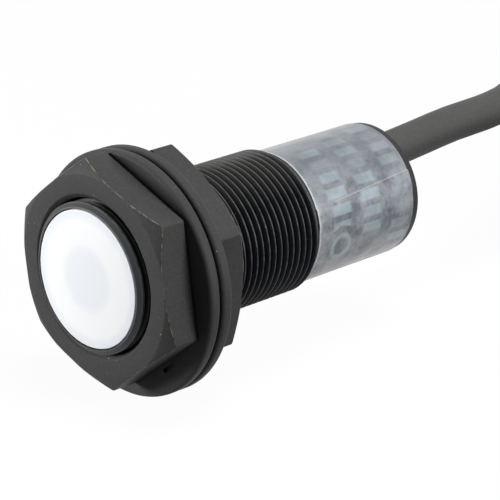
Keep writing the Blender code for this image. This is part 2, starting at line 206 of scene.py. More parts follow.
studio = {
    "cameraPlace": (-164.3 * mm, -192.2 * mm, 95.2 * mm),
    "cameraAim": (24.2 * mm, -1.9 * mm, -2.1 * mm),
    "lens": 171.0,                 # a long lens, close to the table
    "sensorWidth": 36.0,
    "floorColour": "#F4F4F4",
    "floorBounce": "#5C5C5C",      # what the part gets back from the floor, as if the paper ended nearby
    "floorGlow": 0.96,             # share of plain white that the camera sees in the floor
    "floorRoughness": 0.9,
    "floorSize": 6.0,              # metres each way
    "worldColour": "#FFFFFF",
    "worldStrength": 0.03,         # what the world lights; the camera sees it plain white
    "lamps": [                     # name, place and aim in mm, size in mm, watts
        ("softboxAbove", (70, -60, 420), (20, 0, 0), 240, 1.6),
        ("softboxLeft", (-530, 480, 64), (0, 0, 0), 320, 8.0),
        ("softboxRight", (190, -400, 140), (20, 0, 0), 200, 1.45),
    ],
}


def makeCamera():
    data = bpy.data.cameras.new("photoCamera")
    data.lens = studio["lens"]
    data.sensor_width = studio["sensorWidth"]
    data.clip_start = 0.01
    camera = bpy.data.objects.new("photoCamera", data)
    camera.location = studio["cameraPlace"]
    aim = Vector(studio["cameraAim"]) - Vector(studio["cameraPlace"])
    camera.rotation_euler = aim.to_track_quat("-Z", "Y").to_euler()
    bpy.context.scene.collection.objects.link(camera)
    bpy.context.scene.camera = camera


def seenWhite(tree, rays):
    # 1 for what the camera sees itself, in a reflection or through something clear
    direct = addNode(tree, "ShaderNodeMath", {"operation": "MAXIMUM"}, None,
                     {0: rays.outputs["Is Camera Ray"], 1: rays.outputs["Is Transmission Ray"]})
    return addNode(tree, "ShaderNodeMath", {"operation": "MAXIMUM"}, None,
                   {0: direct.outputs[0], 1: rays.outputs["Is Glossy Ray"]})


def makeFloor():
    # a plain white sweep: the camera sees it nearly white, with the object's soft shadow left in
    bm = bmesh.new()
    bmesh.ops.create_grid(bm, x_segments=1, y_segments=1, size=studio["floorSize"],
                          matrix=Matrix.Translation((0, 0, surfaceZ)))
    floor = linkMesh("studioFloor", bm)
    paint, roughness = studio["floorColour"], studio["floorRoughness"]
    material, tree, shader, place = newMaterial("studioPaper", paint, roughness)
    shader.inputs["Specular IOR Level"].default_value = 0.0
    rays = addNode(tree, "ShaderNodeLightPath")
    seen = seenWhite(tree, rays)
    paper = addNode(tree, "ShaderNodeMix", {"data_type": "RGBA"},
                    {"A": hexToLinear(paint), "B": hexToLinear(studio["floorBounce"])},
                    {"Factor": rays.outputs["Is Diffuse Ray"]})
    tree.links.new(paper.outputs["Result"], shader.inputs["Base Color"])
    share = addNode(tree, "ShaderNodeMath", {"operation": "MULTIPLY"}, {1: studio["floorGlow"]},
                    {0: seen.outputs[0]})
    glow = addNode(tree, "ShaderNodeEmission", None, {"Color": (1, 1, 1, 1), "Strength": 1.0})
    mix = addNode(tree, "ShaderNodeMixShader", None, None,
                  {0: share.outputs[0], 1: shader.outputs[0], 2: glow.outputs[0]})
    tree.links.new(mix.outputs[0], tree.nodes["Material Output"].inputs["Surface"])
    dress(floor, material)


def makeLight():
    world = bpy.data.worlds.new("studioWorld")
    bpy.context.scene.world = world
    world.use_nodes = True
    tree = world.node_tree
    rays = addNode(tree, "ShaderNodeLightPath")
    seen = seenWhite(tree, rays)
    ambient = tree.nodes["Background"]
    ambient.inputs["Color"].default_value = hexToLinear(studio["worldColour"])
    ambient.inputs["Strength"].default_value = studio["worldStrength"]
    white = addNode(tree, "ShaderNodeBackground", None, {"Color": (1, 1, 1, 1), "Strength": 1.0})
    mix = addNode(tree, "ShaderNodeMixShader", None, None,
                  {0: seen.outputs[0], 1: ambient.outputs[0], 2: white.outputs[0]})
    tree.links.new(mix.outputs[0], tree.nodes["World Output"].inputs["Surface"])
    for name, place, aim, size, watts in studio["lamps"]:
        data = bpy.data.lights.new(name, "AREA")
        data.shape = "DISK"
        data.size = size * mm
        data.energy = watts
        lamp = bpy.data.objects.new(name, data)
        lamp.location = Vector(place) * mm
        lamp.rotation_euler = (Vector(aim) * mm - lamp.location).to_track_quat("-Z", "Y").to_euler()
        bpy.context.scene.collection.objects.link(lamp)
    bpy.context.scene.view_settings.view_transform = "Standard"


makeCamera()
makeFloor()
makeLight()
print("camera, floor and light are up")

# Finishes, after the two pieces whose sizes the finishes take up

barrel = {
    "crestR": 9.0 * mm,
    "rootR": 8.40 * mm,
    "pitch": 1.0 * mm,
    "crestWidth": 0.12 * mm,
    "rootWidth": 0.22 * mm,
    "threadStart": 0.75 * mm,
    "threadEnd": 29.167 * mm,      # so that the runout ends on the far side
    "rearR": 8.35 * mm,
    "recessR": 8.32 * mm,
    "recessDepth": 1.32 * mm,
    "boreR": 7.3 * mm,
    "chamfer": 0.45 * mm,
    "lipRounding": 0.08 * mm,
    "lipLand": 0.25 * mm,          # smooth strip behind the chamfer
    "lipTaper": 0.6 * mm,          # where the first groove is full
    "rearStep": (0.12 * mm, 0.18 * mm),    # behind the thread, from its root to the smooth rear
    "ridgeSink": 0.06 * mm,        # how far the ridge's foot goes into the barrel
    "ridgeRounding": 0.05 * mm,
    "runout": 0.5,                 # turns over which the ridge rises and falls
    "pointsPerTurn": 96,
}

sleeve = {
    "seamEnd": 153.0,              # angle of the film's outer end, degrees from +Y towards +Z
    "middle": 39.35 * mm,          # where along the barrel that angle holds
    "skew": math.radians(0.483) / mm,  # the film was put on a little askew
    "lap": 12.0,
    "liftFrom": 352.0,             # where the film's end starts to climb over its start
    "liftOver": 6.0,
    "wall": 0.10 * mm,
    "bed": 0.02 * mm,              # the glue under it
    "lapGap": 0.01 * mm,
    "steps": 180,
}

plastics = {
    # name: colour, roughness, specular level, grain in mm, bump strength, lighter flecks
    # glass-filled PBT, moulded: matt black with a fine grain
    "barrelPbt": ("#2B2D2F", 0.50, 0.38, 0.22, 0.10, 0.10),
    # the same, its crests paler, partly rubbed by the nuts and partly a painted highlight
    "threadPbt": ("#1F2125", 0.50, 0.14, 0.22, 0.08, 0.05),
    # ABS nuts and washers, moulded: satin black, their edges faintly rubbed
    "nutAbs": ("#3E3F3E", 0.54, 0.08, 0.28, 0.12, 0.16),
    # PBT end cap, moulded: satin black
    "capPbt": ("#2A2A2A", 0.48, 0.20, 0.22, 0.08, 0.08),
    # PVC jacket, extruded: soft dark grey with a dull sheen
    "jacketPvc": ("#4A4A49", 0.60, 0.15, 0.28, 0.10, 0.04),
    # white PBT window, moulded: even, with a soft gloss
    "facePbt": ("#F0F4F8", 0.34, 0.20, 0.30, 0.04, 0.0),
    # polyamide, moulded: ivory and slightly waxy, or mid grey
    "bobbinPa": ("#CFCBBE", 0.50, 0.25, 0.30, 0.06, 0.05),
    "holderPa": ("#6A6B6D", 0.50, 0.25, 0.30, 0.08, 0.06),
    # moulded epoxy: dull black with a fine tooth
    "chipEpoxy": ("#262627", 0.42, 0.25, 0.12, 0.10, 0.12),
    # natural nylon, moulded: milky, slightly waxy
    "tieNylon": ("#D9D8D2", 0.45, 0.25, 0.20, 0.05, 0.0),
    # PVC insulation, extruded: smooth, slightly glossy
    "brownPvc": ("#5B3520", 0.40, 0.25, 0.40, 0.05, 0.0),
    "blackPvc": ("#1E1E1F", 0.40, 0.25, 0.40, 0.05, 0.0),
    "bluePvc": ("#1F4E94", 0.40, 0.25, 0.40, 0.05, 0.0),
}

grain = {
    "driftSize": 6 * mm,           # slow change of shade over a moulding
    "drift": (0.90, 1.10),
    "speckle": (0.87, 1.13),       # the grain's own change of shade
    "noise": (0.3, 0.7),           # values between which that change runs
    "fleckNoise": (0.70, 0.80),    # and between which a fleck shows
    "fleckColour": "#C4C4C4",
    "roughness": 0.07,             # more and less than the plastic's own
    "depth": 0.03 * mm,
}

wear = {
    # name: where it is paler, its colour, how much, the noise that breaks it up, dust specks' spacing in mm
    "nutAbs": ("edges", "#979079", 0.75, (0.38, 0.60), 1.7),
    # thread crests: partly rubbed by the nuts, partly a painted highlight
    "threadPbt": ("crestsRubbedAndLit", "#5A5B5E", 0.85, (0.25, 0.65), 1.5),
    # the barrel reaches its crest radius only at the lip's outer edge: a painted highlight there
    "barrelPbt": ("crestsRubbedAndLit", "#6A6B6D", 0.80, (0.25, 0.65), 1.9),
}

rubbingAndHighlight = {
    "patch": 0.9 * mm,             # size of the patches that the rubbing and the painted highlight leave
    "crest": (0.10 * mm, 0.03 * mm),   # depths under the crest where it starts and is full
}

dustAndLitTop = {
    "speckColour": "#B9B6AC",
    "speck": 0.034,                # radius, as a share of the specks' spacing
    "colour": "#5C5C58",           # painted light: grey laid into the grooves on the thread's upper side, which is lit from above
    "share": 0.68,
    "from": 5.5 * mm,              # height over the axis where it starts
}


def addWear(tree, place, name, colour):
    # rubbed nut edges; paler thread crests, partly rubbed and partly a painted highlight; a painted
    # highlight on the lip's outer edge; all broken up by noise, with a few pale specks, and the thread's
    # upper side painted lighter
    kind, rubbedAndLitColour, amount, broken, spacing = wear[name]
    if kind == "edges":
        mark = addNode(tree, "ShaderNodeAttribute", {"attribute_name": "wear"}).outputs["Fac"]
    else:
        flat = addNode(tree, "ShaderNodeVectorMath", {"operation": "MULTIPLY"}, {1: (0, 1, 1)}, {0: place})
        radius = addNode(tree, "ShaderNodeVectorMath", {"operation": "LENGTH"}, None, {0: flat.outputs[0]})
        first, full = [barrel["crestR"] - depth for depth in rubbingAndHighlight["crest"]]
        mark = addNode(tree, "ShaderNodeMapRange", None, {"From Min": first, "From Max": full},
                       {"Value": radius.outputs["Value"]}).outputs[0]
    patchy = addNode(tree, "ShaderNodeTexNoise", None, {"Scale": 1 / rubbingAndHighlight["patch"], "Detail": 4.0},
                     {"Vector": place})
    patches = addNode(tree, "ShaderNodeMapRange", None,
                      {"From Min": broken[0], "From Max": broken[1], "To Max": amount},
                      {"Value": patchy.outputs["Fac"]})
    share = addNode(tree, "ShaderNodeMath", {"operation": "MULTIPLY"}, None,
                    {0: mark, 1: patches.outputs[0]})
    rubAndHighlight = addNode(tree, "ShaderNodeMix", {"data_type": "RGBA"}, {"B": hexToLinear(rubbedAndLitColour)},
                  {"Factor": share.outputs[0], "A": colour})
    cells = addNode(tree, "ShaderNodeTexVoronoi", None, {"Scale": 1 / (spacing * mm)}, {"Vector": place})
    speck = addNode(tree, "ShaderNodeMath", {"operation": "LESS_THAN"}, {1: dustAndLitTop["speck"]},
                    {0: cells.outputs["Distance"]})
    specks = addNode(tree, "ShaderNodeMix", {"data_type": "RGBA"}, {"B": hexToLinear(dustAndLitTop["speckColour"])},
                     {"Factor": speck.outputs[0], "A": rubAndHighlight.outputs["Result"]})
    if name != "threadPbt":
        return specks.outputs["Result"]
    # painted light: the thread's upper side made paler towards the top, where the light from above falls
    axes = addNode(tree, "ShaderNodeSeparateXYZ", None, None, {0: place})
    upper = addNode(tree, "ShaderNodeMapRange", None,
                    {"From Min": dustAndLitTop["from"], "From Max": barrel["crestR"], "To Max": dustAndLitTop["share"]},
                    {"Value": axes.outputs["Z"]})
    litTop = addNode(tree, "ShaderNodeMix", {"data_type": "RGBA"}, {"B": hexToLinear(dustAndLitTop["colour"])},
                      {"Factor": upper.outputs[0], "A": specks.outputs["Result"]})
    return litTop.outputs["Result"]


def mouldedColour(tree, place, name, fine):
    # slow colour drift, a fine grain and faint pale flecks, and the wear where the piece has some
    colour, flecks = plastics[name][0], plastics[name][5]
    low, high = grain["drift"]
    drift = addNode(tree, "ShaderNodeTexNoise", None, {"Scale": 1 / grain["driftSize"], "Detail": 3.0},
                    {"Vector": place})
    slow = addNode(tree, "ShaderNodeMapRange", None, {"To Min": low, "To Max": high},
                   {"Value": drift.outputs["Fac"]})
    (least, most), (low, high) = grain["noise"], grain["speckle"]
    quick = addNode(tree, "ShaderNodeMapRange", None,
                    {"From Min": least, "From Max": most, "To Min": low, "To Max": high},
                    {"Value": fine.outputs["Fac"]})
    shade = addNode(tree, "ShaderNodeMath", {"operation": "MULTIPLY"}, None,
                    {0: slow.outputs[0], 1: quick.outputs[0]})
    tint = addNode(tree, "ShaderNodeVectorMath", {"operation": "SCALE"}, {0: hexToLinear(colour)[:3]},
                   {"Scale": shade.outputs[0]})
    least, most = grain["fleckNoise"]
    sparse = addNode(tree, "ShaderNodeMapRange", None,
                     {"From Min": least, "From Max": most, "To Max": flecks},
                     {"Value": fine.outputs["Fac"]})
    mix = addNode(tree, "ShaderNodeMix", {"data_type": "RGBA"}, {"B": hexToLinear(grain["fleckColour"])},
                  {"Factor": sparse.outputs[0], "A": tint.outputs[0]})
    if name in wear:
        return addWear(tree, place, name, mix.outputs["Result"])
    return mix.outputs["Result"]


window = {
    # share of the window's radius, and the shade there
    "stops": [(0.0, "#EEF2F6"), (0.36, "#EEF2F6"), (0.58, "#FAFBFC"), (0.80, "#FAFBFC"), (0.97, "#ECF0F5")],
    "radius": 8.2 * mm,
    "edge": 0.15 * mm,             # rounding of the rim
}


def windowColour(tree, place):
    # a shade greyer in the window's middle and at its rim, paler in a ring between
    away = addNode(tree, "ShaderNodeVectorMath", {"operation": "LENGTH"}, None, {0: place})
    part = addNode(tree, "ShaderNodeMath", {"operation": "DIVIDE"}, {1: window["radius"]},
                   {0: away.outputs["Value"]})
    shades = addNode(tree, "ShaderNodeValToRGB", None, None, {"Fac": part.outputs[0]})
    shades.color_ramp.interpolation = "EASE"
    for i, (at, shade) in enumerate(window["stops"]):
        stop = shades.color_ramp.elements[i] if i < 2 else shades.color_ramp.elements.new(at)
        stop.position = at
        stop.color = hexToLinear(shade)
    return shades.outputs["Color"]


def makePlastic(name):
    # moulded or extruded plastic: its colour, and a fine grain in roughness and bump
    colour, roughness, sheen, size, bump, flecks = plastics[name]
    spread = grain["roughness"]
    material, tree, shader, place = newMaterial(name, colour, roughness)
    shader.inputs["Specular IOR Level"].default_value = sheen   # low where the grain's tooth scatters it
    fine = addNode(tree, "ShaderNodeTexNoise", None, {"Scale": 1 / (size * mm), "Detail": 2.0},
                   {"Vector": place})
    base = windowColour(tree, place) if name == "facePbt" else mouldedColour(tree, place, name, fine)
    tree.links.new(base, shader.inputs["Base Color"])
    rough = addNode(tree, "ShaderNodeMapRange", None,
                    {"To Min": roughness - spread, "To Max": roughness + spread},
                    {"Value": fine.outputs["Fac"]})
    tree.links.new(rough.outputs[0], shader.inputs["Roughness"])
    relief = addNode(tree, "ShaderNodeBump", None, {"Strength": bump, "Distance": grain["depth"]},
                     {"Height": fine.outputs["Fac"]})
    tree.links.new(relief.outputs[0], shader.inputs["Normal"])
    return material


film = {
    "roughness": 0.26,
    "specular": 0.35,
    "coat": (0.1, 0.15),           # weight and roughness of the gloss on top
    "relief": (0.15, 0.05 * mm),   # bump strength and depth of the glue's clouds
    "dark": "#62696F",             # black plastic through the clear film
    "milky": "#9B9EA3",            # where the glue under it has clouded
    "print": "#B6CAD3",
    # pale colour of the film's cut edges, partly a painted highlight, also used for the painted sheen
    "edge": "#D3D8DA",
    "cloud": 2.6,                  # sizes in mm
    "haze": 0.5,
    "hazeShare": 0.3,
    "cloudy": (0.50, 0.80),        # noise between these turns milky
    "cloudShadeHeight": (3.0, 7.5),     # painted shade: heights over the axis between which the cloud is thinned out, so that the upper side stays darker under the light from above
    "printShadeHeight": (3.0, 8.2),     # and between which the print fades, also painted shade
    "bar": (2.05, 5.25),           # pitch of the printed bars round the barrel and along it
    "barGap": (1.15, 3.0),
    "barShades": (0.05, 0.75),     # the bars' own shades, from none to full
    "rowOffset": 0.35,
    "firstRow": 30.87,
    "ring": (-2.4, 33.5, 1.5, 0.30),    # place round and along the barrel, radius and half width
    "ringClear": 1.2,              # no bar within this distance of the ring
    "blur": 0.12,                  # soft edge of the ring
    "printShare": 0.42,
    "printShadedTop": 0.15,              # painted shade: the print's share on the upper side
    "paintedSheenShare": 0.22,            # painted sheen: share of pale colour where the film turns away from the eye, standing in for its gloss
    "paintedSheenBlend": 0.35,
    "paintedSheenFrom": 0.45,
    "cloudTopShade": 0.35,              # painted shade: share of the cloud that is left on the upper side
    "seamFrom": (31.6, 34.0),      # along the barrel, where the film's end starts to stand off and shows
    "edgeShare": 0.5,
    "frontBand": 0.28,
    "seamWidth": 0.28,             # degrees
}


def seamMark(tree, around, axes):
    # 1 on the pale edge of the film's outer end, which runs a little askew; that edge is partly the film's
    # cut edge, partly a painted highlight
    end = math.radians(180 - sleeve["seamEnd"]) - sleeve["middle"] * sleeve["skew"]
    level = addNode(tree, "ShaderNodeMath", {"operation": "SUBTRACT"}, {1: end}, {0: around})
    slant = addNode(tree, "ShaderNodeMath", {"operation": "MULTIPLY_ADD"}, {1: -sleeve["skew"]},
                    {0: axes["X"], 2: level.outputs[0]})
    line = addNode(tree, "ShaderNodeMath", {"operation": "COMPARE"},
                   {1: 0.0, 2: math.radians(film["seamWidth"])},
                   {0: slant.outputs[0]})
    first, full = film["seamFrom"]
    shown = addNode(tree, "ShaderNodeMapRange", None, {"From Min": first * mm, "From Max": full * mm},
                    {"Value": axes["X"]})
    return addNode(tree, "ShaderNodeMath", {"operation": "MULTIPLY"}, None,
                   {0: line.outputs[0], 1: shown.outputs[0]}).outputs[0]


def printedMarks(tree, around, axes):
    # pale bars in rows round the barrel, and one ring with nothing else beside it
    firstRow = film["firstRow"] * mm
    width = addNode(tree, "ShaderNodeMath", {"operation": "MULTIPLY"}, {1: barrel["rearR"]}, {0: around})
    along = addNode(tree, "ShaderNodeMath", {"operation": "SUBTRACT"}, {1: firstRow}, {0: axes["X"]})
    flat = addNode(tree, "ShaderNodeCombineXYZ", None, None, {"X": width.outputs[0], "Y": along.outputs[0]})
    # the texture has one gap, so its other axis is stretched
    stretch = film["barGap"][1] / film["barGap"][0]
    wide = addNode(tree, "ShaderNodeVectorMath", {"operation": "MULTIPLY"}, {1: (stretch, 1, 1)},
                   {0: flat.outputs[0]})
    bars = addNode(tree, "ShaderNodeTexBrick", {"offset": film["rowOffset"]}, {
        "Color1": (1, 1, 1, 1), "Color2": (0, 0, 0, 1), "Mortar": (0, 0, 0, 1), "Scale": 1.0,
        "Mortar Size": film["barGap"][1] / 2 * mm, "Mortar Smooth": 0.6,
        "Brick Width": film["bar"][0] * stretch * mm, "Row Height": film["bar"][1] * mm,
    }, {"Vector": wide.outputs[0]})
    least, most = film["barShades"]
    bar = addNode(tree, "ShaderNodeMapRange", None, {"From Min": least, "From Max": most},
                  {"Value": bars.outputs["Color"]})
    ringAround, ringAlong, ringR, ringHalf = [value * mm for value in film["ring"]]
    away = addNode(tree, "ShaderNodeVectorMath", {"operation": "DISTANCE"},
                   {1: (ringAround, ringAlong - firstRow, 0)},
                   {0: flat.outputs[0]})
    clear = addNode(tree, "ShaderNodeMath", {"operation": "GREATER_THAN"},
                    {1: ringR + film["ringClear"] * mm},
                    {0: away.outputs["Value"]})
    kept = addNode(tree, "ShaderNodeMath", {"operation": "MULTIPLY"}, None,
                   {0: bar.outputs[0], 1: clear.outputs[0]})
    offLine = addNode(tree, "ShaderNodeMath", {"operation": "SUBTRACT"}, {1: ringR},
                      {0: away.outputs["Value"]})
    near = addNode(tree, "ShaderNodeMath", {"operation": "ABSOLUTE"}, None, {0: offLine.outputs[0]})
    soft = film["blur"] * mm
    ring = addNode(tree, "ShaderNodeMapRange", None,
                   {"From Min": ringHalf + soft, "From Max": ringHalf - soft},
                   {"Value": near.outputs[0]})
    return addNode(tree, "ShaderNodeMath", {"operation": "MAXIMUM"}, None,
                   {0: kept.outputs[0], 1: ring.outputs[0]}).outputs[0]


def makeFilm():
    # clear polyester film printed on its back, over black plastic: grey and cloudy, with painted shade on
    # its upper side, a painted sheen where it turns away from the eye, and pale cut edges partly painted as
    # highlight
    material, tree, shader, place = newMaterial("polyesterFilm", film["dark"], film["roughness"])
    axes = addNode(tree, "ShaderNodeSeparateXYZ", None, None, {0: place}).outputs
    front = addNode(tree, "ShaderNodeMath", {"operation": "MULTIPLY"}, {1: -1.0}, {0: axes["Y"]})
    around = addNode(tree, "ShaderNodeMath", {"operation": "ARCTAN2"}, None,
                     {0: axes["Z"], 1: front.outputs[0]}).outputs[0]         # from -Y, upwards
    cloud = addNode(tree, "ShaderNodeTexNoise", None, {"Scale": 1 / (film["cloud"] * mm), "Detail": 5.0},
                    {"Vector": place})
    haze = addNode(tree, "ShaderNodeTexNoise", None, {"Scale": 1 / (film["haze"] * mm), "Detail": 2.0},
                   {"Vector": place})
    both = addNode(tree, "ShaderNodeMath", {"operation": "MULTIPLY_ADD"}, {1: film["hazeShare"]},
                   {0: haze.outputs["Fac"], 2: cloud.outputs["Fac"]})
    cloudy = addNode(tree, "ShaderNodeMapRange", None,
                     {"From Min": film["cloudy"][0], "From Max": film["cloudy"][1]},
                     {"Value": both.outputs[0]})
    # painted shade: the milky cloud and the print are thinned towards the top, so that the side lit from
    # above stays darker
    low, high = film["cloudShadeHeight"]
    shadedTop = addNode(tree, "ShaderNodeMapRange", None,
                    {"From Min": high * mm, "From Max": low * mm, "To Min": film["cloudTopShade"]},
                    {"Value": axes["Z"]})
    cover = addNode(tree, "ShaderNodeMath", {"operation": "MULTIPLY"}, None,
                    {0: cloudy.outputs[0], 1: shadedTop.outputs[0]})
    colour = addNode(tree, "ShaderNodeMix", {"data_type": "RGBA"},
                     {"A": hexToLinear(film["dark"]), "B": hexToLinear(film["milky"])},
                     {"Factor": cover.outputs[0]})
    low, high = film["printShadeHeight"]
    fadedPrintShade = addNode(tree, "ShaderNodeMapRange", None, {
        "From Min": high * mm, "From Max": low * mm,
        "To Min": film["printShadedTop"], "To Max": film["printShare"],
    }, {"Value": axes["Z"]})
    printed = addNode(tree, "ShaderNodeMath", {"operation": "MULTIPLY"}, None,
                      {0: printedMarks(tree, around, axes), 1: fadedPrintShade.outputs[0]})
    # painted sheen: pale colour mixed in at glancing angles, standing in for the film's reflection
    glance = addNode(tree, "ShaderNodeLayerWeight", None, {"Blend": film["paintedSheenBlend"]})
    sheen = addNode(tree, "ShaderNodeMapRange", None,
                    {"From Min": film["paintedSheenFrom"], "To Max": film["paintedSheenShare"]},
                    {"Value": glance.outputs["Facing"]})
    # the pale rim along the front edge and the lapped end: partly the film's cut edge, partly a painted
    # highlight
    band = addNode(tree, "ShaderNodeMath", {"operation": "LESS_THAN"},
                   {1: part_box("label_sleeve")[0].x + film["frontBand"] * mm}, {0: axes["X"]})
    rim = addNode(tree, "ShaderNodeMath", {"operation": "MAXIMUM"}, None,
                  {0: seamMark(tree, around, axes), 1: band.outputs[0]})
    edge = addNode(tree, "ShaderNodeMath", {"operation": "MULTIPLY"}, {1: film["edgeShare"]},
                   {0: rim.outputs[0]})
    for share, shade in ((printed, "print"), (sheen, "edge"), (edge, "edge")):
        colour = addNode(tree, "ShaderNodeMix", {"data_type": "RGBA"}, {"B": hexToLinear(film[shade])},
                         {"Factor": share.outputs[0], "A": colour.outputs["Result"]})
    tree.links.new(colour.outputs["Result"], shader.inputs["Base Color"])
    shader.inputs["Specular IOR Level"].default_value = film["specular"]
    shader.inputs["Coat Weight"].default_value, shader.inputs["Coat Roughness"].default_value = film["coat"]
    strength, depth = film["relief"]
    relief = addNode(tree, "ShaderNodeBump", None, {"Strength": strength, "Distance": depth},
                     {"Height": cloud.outputs["Fac"]})
    tree.links.new(relief.outputs[0], shader.inputs["Normal"])
    return material


metals = {
    # name: colour, roughness, width of the lines in mm
    "clampSteel": ("#B9B9BA", 0.3, 0.3),       # plated steel, rolled: satin grey
    "tinnedCopper": ("#C8C8C4", 0.3, 0.2),     # tinned strands, soldered: bright grey
}

metalLines = {
    "length": 10.0,                # times their width
    "roughness": 0.1,              # more and less than the metal's own
    "relief": (0.2, 0.02 * mm),    # bump strength and depth
}


def makeMetal(name):
    # rolled or tinned metal: fine lines along the part that spread the highlight
    colour, roughness, lines = metals[name]
    spread = metalLines["roughness"]
    strength, depth = metalLines["relief"]
    material, tree, shader, place = newMaterial(name, colour, roughness, 1.0)
    stretch = addNode(tree, "ShaderNodeMapping", None, {"Scale": (1 / metalLines["length"], 1.0, 1.0)},
                      {"Vector": place})
    noise = addNode(tree, "ShaderNodeTexNoise", None, {"Scale": 1 / (lines * mm), "Detail": 3.0},
                    {"Vector": stretch.outputs[0]})
    rough = addNode(tree, "ShaderNodeMapRange", None,
                    {"To Min": roughness - spread, "To Max": roughness + spread},
                    {"Value": noise.outputs["Fac"]})
    tree.links.new(rough.outputs[0], shader.inputs["Roughness"])
    relief = addNode(tree, "ShaderNodeBump", None, {"Strength": strength, "Distance": depth},
                     {"Height": noise.outputs["Fac"]})
    tree.links.new(relief.outputs[0], shader.inputs["Normal"])
    return material


winding = {
    "wire": 0.25 * mm,
    "colour": "#B4602E",
    "roughness": 0.3,
    "relief": (0.8, 0.1 * mm),     # bump strength and depth
    "wave": 0.314,                 # what one wave of the texture measures at a scale of 1
}


def makeWinding():
    # enamelled copper wire, layer wound: a ridge for each turn and an amber gloss
    colour, roughness = winding["colour"], winding["roughness"]
    material, tree, shader, place = newMaterial("enamelledCopper", colour, roughness, 1.0)
    turns = addNode(tree, "ShaderNodeTexWave", {"bands_direction": "X"},
                    {"Scale": winding["wave"] / winding["wire"]}, {"Vector": place})
    strength, depth = winding["relief"]
    relief = addNode(tree, "ShaderNodeBump", None, {"Strength": strength, "Distance": depth},
                     {"Height": turns.outputs["Fac"]})
    tree.links.new(relief.outputs[0], shader.inputs["Normal"])
    return material


ferrite = {
    "colour": "#45464A",
    "dark": "#3A3B3F",
    "pale": "#56575B",
    "roughness": 0.65,
    "grain": 0.15 * mm,
    "relief": (0.3, 0.03 * mm),
}


def makeFerrite():
    # sintered ferrite, ground: dark grey with a sandy grain
    material, tree, shader, place = newMaterial("sinteredFerrite", ferrite["colour"], ferrite["roughness"])
    sand = addNode(tree, "ShaderNodeTexNoise", None, {"Scale": 1 / ferrite["grain"], "Detail": 4.0},
                   {"Vector": place})
    mix = addNode(tree, "ShaderNodeMix", {"data_type": "RGBA"},
                  {"A": hexToLinear(ferrite["dark"]), "B": hexToLinear(ferrite["pale"])},
                  {"Factor": sand.outputs["Fac"]})
    tree.links.new(mix.outputs["Result"], shader.inputs["Base Color"])
    strength, depth = ferrite["relief"]
    relief = addNode(tree, "ShaderNodeBump", None, {"Strength": strength, "Distance": depth},
                     {"Height": sand.outputs["Fac"]})
    tree.links.new(relief.outputs[0], shader.inputs["Normal"])
    return material


board = {
    "mask": "#1F5A38",
    "track": "#2F7A4C",
    "trackWidth": 0.14 * mm,
    "pitch": 1.3 * mm,             # from track to track
    "run": 6.5 * mm,               # from one cross track to the next
    "roughness": 0.35,
    "relief": (0.4, 0.03 * mm),
}


def makeBoardFinish():
    # FR4 laminate under green solder mask: copper tracks show paler through it
    material, tree, shader, place = newMaterial("solderMaskedFr4", board["mask"], board["roughness"])
    cells = addNode(tree, "ShaderNodeTexBrick", {"offset": 0.5}, {
        "Color1": hexToLinear(board["mask"]), "Color2": hexToLinear(board["mask"]),
        "Mortar": hexToLinear(board["track"]), "Mortar Size": board["trackWidth"], "Scale": 1.0,
        "Brick Width": board["run"], "Row Height": board["pitch"],
    }, {"Vector": place})
    tree.links.new(cells.outputs["Color"], shader.inputs["Base Color"])
    strength, depth = board["relief"]
    relief = addNode(tree, "ShaderNodeBump", None, {"Strength": strength, "Distance": depth},
                     {"Height": cells.outputs["Fac"]})
    tree.links.new(relief.outputs[0], shader.inputs["Normal"])
    return material


ceramic = {"colour": "#B79C74", "dark": "#A98D66", "pale": "#C2A982", "roughness": 0.4, "grain": 0.3 * mm}


def makeCeramic():
    # sintered ceramic, fired: an even buff with faint clouds
    material, tree, shader, place = newMaterial("capacitorCeramic", ceramic["colour"], ceramic["roughness"])
    cloud = addNode(tree, "ShaderNodeTexNoise", None, {"Scale": 1 / ceramic["grain"], "Detail": 3.0},
                    {"Vector": place})
    mix = addNode(tree, "ShaderNodeMix", {"data_type": "RGBA"},
                  {"A": hexToLinear(ceramic["dark"]), "B": hexToLinear(ceramic["pale"])},
                  {"Factor": cloud.outputs["Fac"]})
    tree.links.new(mix.outputs["Result"], shader.inputs["Base Color"])
    return material


ledResin = {"colour": "#E09A2A", "roughness": (0.08, 0.20), "clear": 0.5, "ior": 1.54, "cloud": 0.4 * mm}


def makeLedResin():
    # clear amber epoxy, cast: glassy, light passes a little way in
    low, high = ledResin["roughness"]
    material, tree, shader, place = newMaterial("amberEpoxy", ledResin["colour"], low, ior=ledResin["ior"])
    shader.inputs["Transmission Weight"].default_value = ledResin["clear"]
    cloud = addNode(tree, "ShaderNodeTexNoise", None, {"Scale": 1 / ledResin["cloud"]}, {"Vector": place})
    rough = addNode(tree, "ShaderNodeMapRange", None, {"To Min": low, "To Max": high},
                    {"Value": cloud.outputs["Fac"]})
    tree.links.new(rough.outputs[0], shader.inputs["Roughness"])
    return material


finishes = {name: makePlastic(name) for name in plastics}
finishes["polyesterFilm"] = makeFilm()
for name in metals:
    finishes[name] = makeMetal(name)
finishes["enamelledCopper"] = makeWinding()
finishes["sinteredFerrite"] = makeFerrite()
finishes["solderMaskedFr4"] = makeBoardFinish()
finishes["capacitorCeramic"] = makeCeramic()
finishes["amberEpoxy"] = makeLedResin()
print("finishes are made")

# Cable: out of the end cap, then a hank of the length that the photograph doesn't show

